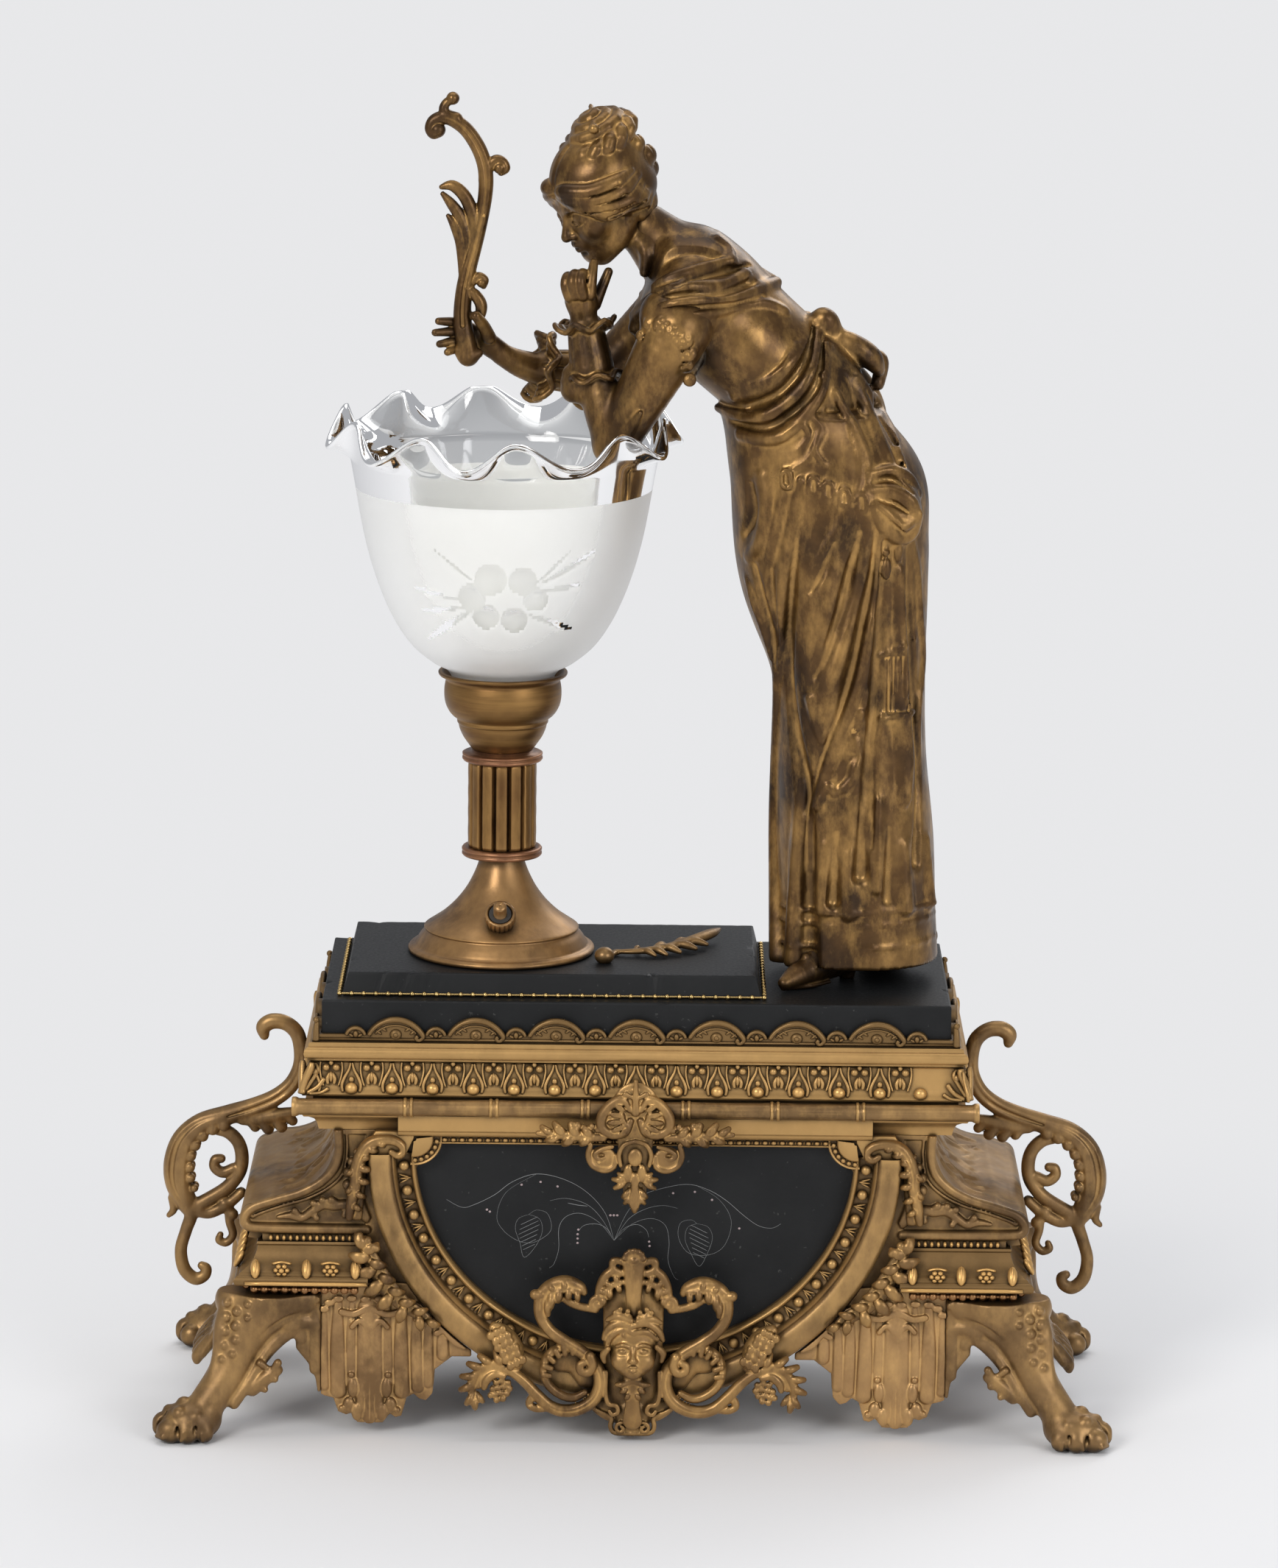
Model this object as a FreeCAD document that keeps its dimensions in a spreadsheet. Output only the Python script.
import FreeCAD, Part
import math
import os
import Sketcher
from types import SimpleNamespace

# Figural table lamp: a cast case on four paw feet, a slate top, a lamp column with a glass
# shade and a leaning figure beside it. Millimetres. The origin is on the table under the
# middle of the case, +Z is up, +X is to the right seen from the front, -Y is the front.

Vector = FreeCAD.Vector
Z_UP = Vector(0, 0, 1)

SIZES = {
    # case
    "wall": 4.0,                # thickness of the cast walls
    "case_half_depth": 62.0,    # middle plane to the face of the front wall
    "case_low": 65.0,           # lower edge of the walls
    "case_high": 139.0,         # upper edge of the walls
    "neck_half": 131.5,         # half width under the cornice
    "slope_radius": 28.5,       # concave sweep from neck to nose
    "nose_half": 174.0,         # half width over the rounded noses
    "nose_radius": 6.3,
    "nose_low": 91.5,
    "neck_lip": 3.5,            # straight run between the sweep and the cornice
    "foot_wall_half": 164.0,    # half width of the walls under the noses
    # panel
    "panel_top": 129.0,
    "opening_radius": 99.5,
    "frame_wide": 19.5,         # the ring, from the opening to its outer edge
    "frame_depth": 7.0,
    "frame_lap": 2.0,           # how far the frame covers the front wall's round belly
    "frame_reveal": 0.5,
    "frame_bar": 8.0,           # the straight bar over the half ring
    "slate_lap": 5.0,
    "slate_thick": 6.0,
    "back_opening_radius": 84.0,
    "sheet_thick": 1.6,
    "cover_lap": 10.0,
    "screw_inset": 5.0,
    # stages between the case and the slab
    "cornice_tall": 8.0,
    "cornice_half": 146.0,
    "cornice_proud": 7.0,       # in front of the case, as the next ones named proud
    "rod_radius": 4.0,
    "rod_cap_proud": 0.35,
    "rod_rise": 4.2,            # the rod's middle over the cornice
    "rod_half": 148.0,
    "band_tall": 8.6,           # plain band behind the rod
    "frieze_tall": 15.4,
    "frieze_half_low": 146.0,
    "frieze_half_high": 141.5,
    "frieze_proud": 6.5,
    "rail_tall": 8.0,
    "stage_wall": 8.0,          # how far a stage reaches inward
    "rail_half": 145.5,
    "rail_proud": 6.5,
    "gallery_tall": 11.0,
    "gallery_thick": 2.6,
    "arch_pitch": 35.0,
    "gallery_gap": 0.4,
    # slate top
    "slab_half_width": 137.8,
    "slab_set_back": 1.0,       # from the case's front face
    "slab_tall": 18.0,
    "plinth_left": -129.0,
    "plinth_right": 54.5,
    "plinth_half_depth": 52.0,
    "plinth_tall": 10.0,
    "plinth_rake": 2.0,
    "bead_radius": 1.15,
    "bead_pitch": 5.2,
    "wire_radius": 0.5,
    # mouldings, feet and aprons
    "mould_low": 70.0,
    "mould_high": 88.0,
    "mould_half": 176.0,
    "mould_proud": 11.0,
    "strip_radius": 2.0,
    "strip_pitch": 4.4,
    "foot_tip": 212.0,
    "foot_proud": 24.0,
    "apron_thick": 4.0,
    # handles
    "handle_radius": 4.6,
    "handle_half": 212.0,
    # lamp
    "lamp_x": -60.6,
    "lamp_y": -4.0,
    "foot_radius": 41.5,
    "bell_tall": 42.6,
    "foot_neck": 9.8,
    "metal_thick": 2.6,
    "tube_radius": 5.0,
    "tube_bore": 3.5,
    "tube_play": 0.25,
    "disc_radius": 17.9,
    "disc_thick": 5.0,
    "column_radius": 15.3,
    "column_long": 39.0,
    "flute_count": 14,
    "flute_wide": 2.2,
    "flute_deep": 1.9,
    "cup_high": 35.2,
    "cup_flare": 2.6,           # the lip beyond the cup's side
    "cup_radius": 26.0,
    "cup_step_in": 5.7,         # the step inside the cup's side
    "cup_neck": 13.6,
    "holder_radius": 14.0,
    "holder_long": 36.0,
    "bulb_radius": 22.5,
    "glass_thick": 2.8,
    "shade_seat": 29.4,         # above the cup's foot
    "shade_radius": 70.6,
    "shade_flare": 79.6,
    "shade_high": 120.5,
    # switch
    "switch_out": 23.9,         # from the lamp axis to the switch's seat
    "switch_up": 17.6,          # above the plinth
    "switch_tilt": 45.0,
    "switch_thread": 4.9,
    "switch_body_radius": 6.6,
    "switch_body_long": 10.0,
    "nut_radius": 7.4,
    "nut_seat": 0.9,
    "nut_long": 7.6,
    "button_radius": 3.0,
    "button_out": 6.5,
    "button_travel": 3.0,
    "spring_room": 7.3,         # left for the spring when the button is down
    "running_gap": 0.06,
    # cable inlet
    "gland_height": 92.0,
    "gland_bore": 3.5,
    "gland_radius": 7.5,
    "gland_stem": 6.3,
    "gland_flange": 3.0,
    "gland_inside": 8.0,
    # figure
    "figure_x": 96.0,
    "hem_rise": 15.0,           # over the slab, as the next three
    "waist_rise": 248.0,
    "skirt_wall": 3.2,
    "skirt_half_depth": 37.0,
    "head_radius": 20.0,
    "figure_gap": 0.3,
    "scroll_radius": 2.6,
    "figure_tall": 391.0,
    "bolt_x": 78.0,
    "bolt_y": -14.0,
    # fastenings
    "rod_thread": 3.0,
    "tie_x": 104.0,
    "tie_y": 30.0,
    "nut_across": 5.5,
    "nut_height": 5.0,
    "screw_radius": 1.5,
    "head_of_screw": 3.0,
}

doc = FreeCAD.newDocument("FiguralLamp")
sheet = doc.addObject("Spreadsheet::Sheet", "Sizes")
for row, (alias, value) in enumerate(SIZES.items(), start=1):
    cell = "A%d" % row
    sheet.set(cell, str(value))
    sheet.setAlias(cell, alias)
doc.recompute()


class Dim:
    """A size: its number, and the formula on the sheet that gives it."""

    def __init__(self, value, text):
        self.value = value
        self.text = text

    def __add__(self, other):
        return Dim(self.value + number(other), "(%s + %s)" % (self.text, text(other)))

    def __radd__(self, other):
        return Dim(number(other) + self.value, "(%s + %s)" % (text(other), self.text))

    def __sub__(self, other):
        return Dim(self.value - number(other), "(%s - %s)" % (self.text, text(other)))

    def __rsub__(self, other):
        return Dim(number(other) - self.value, "(%s - %s)" % (text(other), self.text))

    def __mul__(self, other):
        return Dim(self.value * number(other), "(%s * %s)" % (self.text, text(other)))

    __rmul__ = __mul__

    def __neg__(self):
        return Dim(-self.value, "(-1 * %s)" % self.text)


def number(item):
    return item.value if isinstance(item, Dim) else float(item)


def text(item):
    return item.text if isinstance(item, Dim) else "%.6f" % item


S = SimpleNamespace(**{alias: Dim(sheet.get(alias), "Sizes." + alias) for alias in SIZES})
N = SimpleNamespace(**{alias: float(sheet.get(alias)) for alias in SIZES})


def derive(alias, size):
    """A size that follows from the sheet's sizes, so that it moves with them."""
    setattr(S, alias, size)
    setattr(N, alias, number(size))


derive("cornice_half_depth", S.case_half_depth + S.cornice_proud)
derive("frieze_half_depth", S.case_half_depth + S.frieze_proud)
derive("rail_half_depth", S.case_half_depth + S.rail_proud)
derive("slab_half_depth", S.case_half_depth - S.slab_set_back)
derive("mould_half_depth", S.case_half_depth + S.mould_proud)
derive("foot_front", S.case_half_depth + S.foot_proud)
derive("cornice_high", S.case_high + S.cornice_tall)
derive("rod_height", S.cornice_high + S.rod_rise)
derive("frieze_low", S.cornice_high + S.band_tall)
derive("frieze_high", S.frieze_low + S.frieze_tall)
derive("rail_high", S.frieze_high + S.rail_tall)
derive("gallery_high", S.rail_high + S.gallery_tall)
derive("slab_high", S.rail_high + S.slab_tall)
derive("plinth_high", S.slab_high + S.plinth_tall)
derive("foot_high", S.plinth_high + S.bell_tall)
derive("hem_height", S.slab_high + S.hem_rise)
derive("waist_height", S.slab_high + S.waist_rise)
derive("figure_top", S.slab_high + S.figure_tall)
derive("frame_radius", S.opening_radius + S.frame_wide)
derive("cup_lip", S.cup_radius + S.cup_flare)
derive("cup_step", S.cup_radius - S.cup_step_in)

kept = []


def keep(item, label):
    """Marks a finished sub-part, whose label names its file."""
    item.Label = label
    kept.append(item)
    return item


# ---------------------------------------------------------------- sketches and bodies

def origin_plane(body, role):
    return [item for item in body.Origin.OriginFeatures if item.Role == role][0]


def bind_point(sketch, geometry, end, point):
    for kind, size in (("DistanceX", point[0]), ("DistanceY", point[1])):
        index = sketch.addConstraint(
            Sketcher.Constraint(kind, -1, 1, geometry, end, number(size)))
        sketch.setExpression("Constraints[%d]" % index, text(size))


def bulge_middle(first, last, radius, side):
    """The middle of an arc of the given radius between two points, on one side of the chord."""
    chord = last - first
    half = chord.Length / 2
    rise = radius - math.sqrt(max(radius * radius - half * half, 0.0))
    across = Vector(-chord.y, chord.x, 0).normalize()
    return (first + last) * 0.5 + across * rise * side


def draw_loop(sketch, points):
    """A closed outline. A point with four values starts an arc: x, y, radius and side."""
    ends = []
    count = len(points)
    for index in range(count):
        here = points[index]
        there = points[(index + 1) % count]
        first = Vector(number(here[0]), number(here[1]), 0)
        last = Vector(number(there[0]), number(there[1]), 0)
        if len(here) == 2:
            ends.append((sketch.addGeometry(Part.LineSegment(first, last)), 1, 2))
            continue
        middle = bulge_middle(first, last, number(here[2]), here[3])
        arc = sketch.addGeometry(Part.Arc(first, middle, last))
        forward = sketch.getPoint(arc, 1).distanceToPoint(first) < 1e-6
        ends.append((arc, 1, 2) if forward else (arc, 2, 1))
    for index in range(count):
        geometry, start, finish = ends[index]
        following, next_start, _ = ends[(index + 1) % count]
        sketch.addConstraint(
            Sketcher.Constraint("Coincident", geometry, finish, following, next_start))
        bind_point(sketch, geometry, start, points[index])
        if len(points[index]) == 4:
            radius = sketch.addConstraint(
                Sketcher.Constraint("Radius", geometry, number(points[index][2])))
            sketch.setExpression("Constraints[%d]" % radius, text(points[index][2]))


def new_body(label, role, loops, circles=()):
    body = doc.addObject("PartDesign::Body", "Body_" + label)
    sketch = body.newObject("Sketcher::SketchObject", "Sketch_" + label)
    sketch.AttachmentSupport = [(origin_plane(body, role), "")]
    sketch.MapMode = "FlatFace"
    for loop in loops:
        draw_loop(sketch, loop)
    for x, y, radius in circles:
        circle = sketch.addGeometry(
            Part.Circle(Vector(number(x), number(y), 0), Z_UP, number(radius)))
        bind_point(sketch, circle, 3, (x, y))
        index = sketch.addConstraint(Sketcher.Constraint("Radius", circle, number(radius)))
        sketch.setExpression("Constraints[%d]" % index, text(radius))
    return body, sketch


def place(item, x=0.0, y=0.0, z=0.0):
    for axis, value in (("x", x), ("y", y), ("z", z)):
        item.setExpression("Placement.Base." + axis, text(value))


def turned(label, loop, x=0.0, y=0.0, z=0.0):
    """A piece turned about its own vertical axis, from an outline of radius and height."""
    body, sketch = new_body(label, "XZ_Plane", [loop])
    turn = body.newObject("PartDesign::Revolution", "Turn_" + label)
    turn.Profile = sketch
    turn.ReferenceAxis = (sketch, ["V_Axis"])
    turn.Angle = 360
    body.Tip = turn
    place(body, x, y, z)
    return body


def upright_plate(label, loops, back, thick, circles=()):
    """A plate seen from the front: its outline in x and z, its rear face at y = back."""
    body, sketch = new_body(label, "XZ_Plane", loops, circles)
    pad = body.newObject("PartDesign::Pad", "Pad_" + label)
    pad.Profile = sketch
    pad.setExpression("Length", text(thick))
    body.Tip = pad
    place(body, 0.0, back, 0.0)
    return body


# ---------------------------------------------------------------- primitives and booleans

def block(name, x_low, x_high, y_low, y_high, z_low, z_high):
    item = doc.addObject("Part::Box", name)
    item.setExpression("Length", text(x_high - x_low))
    item.setExpression("Width", text(y_high - y_low))
    item.setExpression("Height", text(z_high - z_low))
    place(item, x_low, y_low, z_low)
    return item


def frustum(name, half_x_low, half_y_low, z_low, half_x_high, half_y_high, z_high, x_mid=0.0):
    """A block whose top is narrower or wider than its foot."""
    item = doc.addObject("Part::Wedge", name)
    item.Placement = FreeCAD.Placement(Vector(), FreeCAD.Rotation(Vector(1, 0, 0), 90))
    sizes = {"Xmin": -half_x_low, "Xmax": half_x_low, "Zmin": -half_y_low, "Zmax": half_y_low,
             "X2min": -half_x_high, "X2max": half_x_high, "Z2min": -half_y_high,
             "Z2max": half_y_high, "Ymin": z_low, "Ymax": z_high}
    for prop, value in sizes.items():
        item.setExpression(prop, text(value))
    item.setExpression("Placement.Base.x", text(x_mid))
    return item


def rod(name, radius, long, x=0.0, y=0.0, z=0.0, turn=None):
    item = doc.addObject("Part::Cylinder", name)
    item.setExpression("Radius", text(radius))
    item.setExpression("Height", text(long))
    if turn is not None:
        item.Placement = FreeCAD.Placement(Vector(), turn)
    place(item, x, y, z)
    return item


def cut(name, base, tool):
    item = doc.addObject("Part::Cut", name)
    item.Base = base
    item.Tool = tool
    return item


def fuse(name, items):
    item = doc.addObject("Part::MultiFuse", name)
    item.Shapes = items
    return item


def formed(label, shape):
    """A piece whose shape comes from its own function."""
    item = doc.addObject("Part::Feature", "Form_" + label)
    item.Shape = shape
    return keep(item, label)


def mirrored(shape):
    return shape.mirror(Vector(), Vector(1, 0, 0))


def prism(points, thick, y_back):
    """A flat piece seen from the front: its corners in x and z, its rear face at y_back."""
    corners = [Vector(x, y_back, z) for x, z in points]
    face = Part.Face(Part.makePolygon(corners + corners[:1]))
    return face.extrude(Vector(0, -thick, 0))


def oval(centre, direction, wide, deep):
    """An oval wire across a direction that lies in a vertical plane along x."""
    normal = Vector(*direction).normalize()
    across = Vector(0, 1, 0).cross(normal).normalize()
    middle = Vector(*centre)
    if abs(wide - deep) < 0.001:
        return Part.Wire(Part.Circle(middle, normal, wide).toShape())
    if wide > deep:
        ellipse = Part.Ellipse(middle + across * wide, middle + Vector(0, deep, 0), middle)
    else:
        ellipse = Part.Ellipse(middle + Vector(0, deep, 0), middle + across * wide, middle)
    return Part.Wire(ellipse.toShape())


def tapering(sections):
    """A smooth form through ovals: centre, direction, half width along x and half depth."""
    return Part.makeLoft([oval(*section) for section in sections], True, False)


def egg(centre, half_x, half_y, half_z, tilt=0.0):
    """An egg-shaped lump, tilted about the y axis."""
    matrix = FreeCAD.Matrix()
    matrix.scale(Vector(half_x, half_y, half_z))
    shape = Part.makeSphere(1.0).transformGeometry(matrix)
    shape.rotate(Vector(), Vector(0, 1, 0), tilt)
    shape.translate(Vector(*centre))
    return shape


def rounded_path(points):
    """Straight runs joined by tangent arcs, each as large as its two runs allow."""
    share = 0.45
    corners = [Vector(*point) for point in points]
    edges = []
    start = corners[0]
    for before, corner, after in zip(corners, corners[1:], corners[2:]):
        reach = share * min((corner - before).Length, (after - corner).Length)
        back = (before - corner).normalize()
        ahead = (after - corner).normalize()
        enter = corner + back * reach
        leave = corner + ahead * reach
        half_turn = (math.pi - back.getAngle(ahead)) / 2
        radius = reach / math.tan(half_turn)
        inward = (back + ahead).normalize()
        middle = corner + inward * (radius / math.cos(half_turn) - radius)
        edges.append(Part.LineSegment(start, enter).toShape())
        edges.append(Part.Arc(enter, middle, leave).toShape())
        start = leave
    edges.append(Part.LineSegment(start, corners[-1]).toShape())
    return Part.Wire(edges)


def bar_along(points, radius):
    """A round bar along a path of runs and arcs."""
    path = rounded_path(points)
    first = Vector(*points[0])
    along = Vector(*points[1]) - first
    ring = Part.Wire(Part.Circle(first, along, radius).toShape())
    return path.makePipeShell([ring], True, False)


def beads_along(start, direction, count, pitch, radius, wire):
    """A turned string of round beads on a wire, one solid."""
    neck = math.sqrt(radius * radius - wire * wire)
    edges = []
    for index in range(count):
        middle = pitch * index
        left = Vector(middle - neck, wire, 0)
        right = Vector(middle + neck, wire, 0)
        edges.append(Part.Arc(left, Vector(middle, radius, 0), right).toShape())
        if index < count - 1:
            edges.append(Part.LineSegment(right, Vector(middle + pitch - neck, wire, 0)).toShape())
    low = Vector(-neck, 0, 0)
    high = Vector(pitch * (count - 1) + neck, 0, 0)
    edges.insert(0, Part.LineSegment(low, Vector(-neck, wire, 0)).toShape())
    edges.append(Part.LineSegment(Vector(high.x, wire, 0), high).toShape())
    edges.append(Part.LineSegment(high, low).toShape())
    solid = Part.Face(Part.Wire(edges)).revolve(Vector(), Vector(1, 0, 0), 360)
    turn = FreeCAD.Rotation(Vector(1, 0, 0), Vector(*direction))
    solid.Placement = FreeCAD.Placement(Vector(*start), turn)
    return solid


# ---------------------------------------------------------------- case walls

slope_x = S.neck_half + S.slope_radius
slope_low = S.case_high - S.slope_radius - S.neck_lip
nose_x = S.nose_half - S.nose_radius
nose_mid = S.nose_low + S.nose_radius
nose_high = S.nose_low + S.nose_radius * 2


def wall_outline():
    """The front wall: neck, concave slopes, noses, walls, and the round belly of the frame."""
    belly = S.frame_radius - S.frame_lap
    belly_x = math.sqrt(number(belly) ** 2 - number(S.panel_top - S.case_low) ** 2)
    return [
        (-S.neck_half, S.case_high),
        (-S.neck_half, slope_low + S.slope_radius, S.slope_radius, 1),
        (-slope_x, slope_low),
        (-nose_x, nose_high, S.nose_radius, -1),
        (-S.nose_half, nose_mid, S.nose_radius, -1),
        (-nose_x, S.nose_low),
        (-S.foot_wall_half, S.nose_low),
        (-S.foot_wall_half, S.case_low),
        (-belly_x, S.case_low, belly, -1),
        (0.0, S.panel_top - belly, belly, -1),
        (belly_x, S.case_low),
        (S.foot_wall_half, S.case_low),
        (S.foot_wall_half, S.nose_low),
        (nose_x, S.nose_low, S.nose_radius, -1),
        (S.nose_half, nose_mid, S.nose_radius, -1),
        (nose_x, nose_high),
        (slope_x, slope_low, S.slope_radius, 1),
        (S.neck_half, slope_low + S.slope_radius),
        (S.neck_half, S.case_high),
    ]


def half_disc(radius, top):
    """A half disc under a straight top edge, in two quarter arcs."""
    return [(-radius, top, radius, -1), (0.0, top - radius, radius, -1), (radius, top)]


front_face = upright_plate("case_front", [wall_outline(), half_disc(S.opening_radius, S.panel_top)],
                           -S.case_half_depth + S.wall, S.wall)
keep(front_face, "case_front")
rear_face = upright_plate(
    "case_back", [wall_outline(), half_disc(S.back_opening_radius, S.panel_top)],
    S.case_half_depth, S.wall)
keep(rear_face, "case_back")

for side, label in ((-1, "case_side_left"), (1, "case_side_right")):
    inner = S.slope_radius + S.wall
    ledge = slope_low - S.wall * 1.5
    profile = [
        (side * S.neck_half, S.case_high),
        (side * S.neck_half, slope_low + S.slope_radius, S.slope_radius, -side),
        (side * slope_x, slope_low),
        (side * nose_x, nose_high, S.nose_radius, side),
        (side * S.nose_half, nose_mid, S.nose_radius, side),
        (side * nose_x, S.nose_low),
        (side * S.foot_wall_half, S.nose_low),
        (side * S.foot_wall_half, S.case_low),
        (side * (S.foot_wall_half - S.wall), S.case_low),
        (side * (S.foot_wall_half - S.wall), ledge),
        (side * slope_x, slope_low - S.wall, inner, side),
        (side * (S.neck_half - S.wall), slope_low + S.slope_radius),
        (side * (S.neck_half - S.wall), S.case_high),
    ]
    depth = S.case_half_depth - S.wall
    keep(upright_plate(label, [profile], depth, depth * 2), label)

# The slate half disc lies behind the front wall's opening.
slate_radius = S.opening_radius + S.slate_lap
keep(upright_plate("slate_panel", [half_disc(slate_radius, S.panel_top + S.slate_lap)],
                   -S.case_half_depth + S.wall + S.slate_thick, S.slate_thick), "slate_panel")

# The frame round it: a half ring and a straight top bar.
frame_outline = [
    (-S.frame_radius, S.panel_top, S.frame_radius, -1),
    (0.0, S.panel_top - S.frame_radius, S.frame_radius, -1),
    (S.frame_radius, S.panel_top),
    (S.opening_radius, S.panel_top + S.frame_bar),
    (-S.opening_radius, S.panel_top + S.frame_bar),
]
frame_inner = half_disc(S.opening_radius - S.frame_reveal, S.panel_top)
keep(upright_plate("panel_frame", [frame_outline, frame_inner],
                   -S.case_half_depth, S.frame_depth), "panel_frame")

# ---------------------------------------------------------------- back cover

screw_ring = S.back_opening_radius + S.screw_inset
behind_wall = S.case_half_depth - S.sheet_thick
through = S.sheet_thick * 4
facing_back = FreeCAD.Rotation(Vector(0, 0, 1), Vector(0, 1, 0))
cover_plate = upright_plate(
    "CoverPlate", [half_disc(S.back_opening_radius + S.cover_lap, S.panel_top + S.screw_inset)],
    S.case_half_depth + S.sheet_thick, S.sheet_thick)
play = 0.2
cover_holes = [rod("GlandHole", S.gland_stem + play, through, 0.0, behind_wall, S.gland_height,
                   facing_back)]
screws = []
for index, angle in enumerate((-150, -30, -75, -105)):
    x = screw_ring * math.cos(math.radians(angle))
    z = S.panel_top + screw_ring * math.sin(math.radians(angle))
    cover_holes.append(rod("ScrewHole%d" % index, S.screw_radius + play, through, x,
                           behind_wall, z, facing_back))
    shank = rod("Shank%d" % index, S.screw_radius, S.sheet_thick, x, S.case_half_depth, z,
                facing_back)
    head = rod("ScrewHead%d" % index, S.head_of_screw, S.screw_radius, x,
               S.case_half_depth + S.sheet_thick, z, facing_back)
    screws.append(fuse("Screw%d" % index, [shank, head]))
keep(cut("CoverDrilled", cover_plate, fuse("CoverHoles", cover_holes)), "back_cover")
screw_group = doc.addObject("Part::Compound", "ScrewGroup")
screw_group.Links = screws
keep(screw_group, "back_cover_screws")

gland_inner_end = -(S.sheet_thick + S.gland_inside)
gland_nose = S.gland_flange + 2.5
gland = turned("cable_gland", [
    (S.gland_bore, gland_inner_end),
    (S.gland_stem, gland_inner_end),
    (S.gland_stem, 0.0),
    (S.gland_radius, 0.0),
    (S.gland_radius, S.gland_flange),
    (S.gland_radius - 1.8, gland_nose),
    (S.gland_bore, gland_nose),
], 0.0, S.case_half_depth + S.sheet_thick, S.gland_height)
gland.Placement = FreeCAD.Placement(Vector(), facing_back)
place(gland, 0.0, S.case_half_depth + S.sheet_thick, S.gland_height)
keep(gland, "cable_gland")

# ---------------------------------------------------------------- stages under the slab

def stage_ring(name, low, high, z_low, z_high, wall):
    """A moulded frame that runs all round the case, from half sizes below and above."""
    outer = frustum("Outer" + name, low[0], low[1], z_low, high[0], high[1], z_high)
    inner = block("Inner" + name, wall - low[0], low[0] - wall, wall - low[1], low[1] - wall,
                  z_low - 1, z_high + 1)
    return cut("Ring" + name, outer, inner)


# A plain band behind the rod carries the frieze on the cornice.
backing = (S.cornice_half - 4.5, S.cornice_half_depth - 3)
frieze_step = S.frieze_half_low - S.frieze_half_high
keep(fuse("CorniceWithBand", [
    stage_ring("Cornice", (S.neck_half + 2, S.case_half_depth + 2),
               (S.cornice_half, S.cornice_half_depth), S.case_high, S.cornice_high,
               S.stage_wall - 2),
    stage_ring("Band", backing, backing, S.cornice_high, S.frieze_low, S.stage_wall),
]), "upper_cornice")
keep(stage_ring("Frieze", (S.frieze_half_low, S.frieze_half_depth),
                (S.frieze_half_high, S.frieze_half_depth - frieze_step), S.frieze_low,
                S.frieze_high, S.stage_wall + 2), "drop_frieze")
keep(stage_ring("Rail", (S.rail_half, S.rail_half_depth), (S.rail_half, S.rail_half_depth),
                S.frieze_high, S.rail_high, S.stage_wall + 6), "torus_rail")

# The rod in front, with a cap at each end.
rod_y = -(backing[1] + S.rod_radius + S.rod_cap_proud)
lying = FreeCAD.Rotation(Vector(0, 0, 1), Vector(1, 0, 0))
cap_long = 2.6
bamboo = rod("Bamboo", S.rod_radius, S.rod_half * 2, -S.rod_half, rod_y, S.rod_height, lying)
cap_radius = S.rod_radius + S.rod_cap_proud
cap_left = rod("RodCapLeft", cap_radius, cap_long, -S.rod_half - cap_long, rod_y, S.rod_height,
               lying)
cap_right = rod("RodCapRight", cap_radius, cap_long, S.rod_half, rod_y, S.rod_height, lying)
keep(fuse("RodWithCaps", [bamboo, cap_left, cap_right]), "bamboo_rod")


def scallops(half_long, thick):
    """A strip with large arches and small ones between them, standing on the rail."""
    count = max(1, int(round(2 * half_long / N.arch_pitch)) - 1)
    pitch = 2 * half_long / (count + 1)
    large = pitch * 0.36
    small = pitch * 0.13
    low = N.rail_high
    rise_large = N.gallery_high - low
    rise_small = rise_large * 0.62
    foot = low + rise_large * 0.3
    edges = []
    at = Vector(-half_long, 0, foot)

    def line_to(x, z):
        nonlocal at
        there = Vector(x, 0, z)
        edges.append(Part.LineSegment(at, there).toShape())
        at = there

    def arch_to(x, z, top):
        nonlocal at
        there = Vector(x, 0, z)
        edges.append(Part.Arc(at, Vector((at.x + x) / 2, 0, top), there).toShape())
        at = there

    for index in range(count):
        middle = -half_long + pitch * (index + 1)
        line_to(middle - pitch / 2 - small, foot)
        arch_to(middle - pitch / 2 + small, foot, low + rise_small)
        line_to(middle - large, foot)
        arch_to(middle + large, foot, low + rise_large)
    line_to(half_long - pitch / 2 - small, foot)
    arch_to(half_long - pitch / 2 + small, foot, low + rise_small)
    line_to(half_long, foot)
    line_to(half_long, low)
    line_to(-half_long, low)
    line_to(-half_long, foot)
    return Part.Face(Part.Wire(edges)).extrude(Vector(0, thick, 0))


def gallery():
    half_wide = N.slab_half_width + N.gallery_gap + N.gallery_thick
    half_deep = N.slab_half_depth + N.gallery_gap + N.gallery_thick
    front = scallops(half_wide, N.gallery_thick)
    back = front.copy()
    front.translate(Vector(0, -half_deep, 0))
    back.translate(Vector(0, half_deep - N.gallery_thick, 0))
    right = scallops(half_deep - N.gallery_thick, N.gallery_thick)
    right.rotate(Vector(), Z_UP, -90)
    left = right.copy()
    right.translate(Vector(half_wide - N.gallery_thick, 0, 0))
    left.translate(Vector(-half_wide, 0, 0))
    return front.fuse([back, left, right]).removeSplitter()


formed("gallery", gallery())

# ---------------------------------------------------------------- slate top

drill_long = 60.0
drill_low = S.rail_high - 20
slab_holes = [
    rod("SlabTubeHole", S.tube_radius + S.tube_play, drill_long, S.lamp_x, S.lamp_y, drill_low),
    rod("SlabFigureHole", S.rod_thread + S.tube_play, drill_long, S.bolt_x, S.bolt_y, drill_low),
]
slab_block = block("SlabBlock", -S.slab_half_width, S.slab_half_width, -S.slab_half_depth,
                   S.slab_half_depth, S.rail_high, S.slab_high)
keep(cut("SlabDrilled", slab_block, fuse("SlabHoles", slab_holes)), "plinth_slab")

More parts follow.
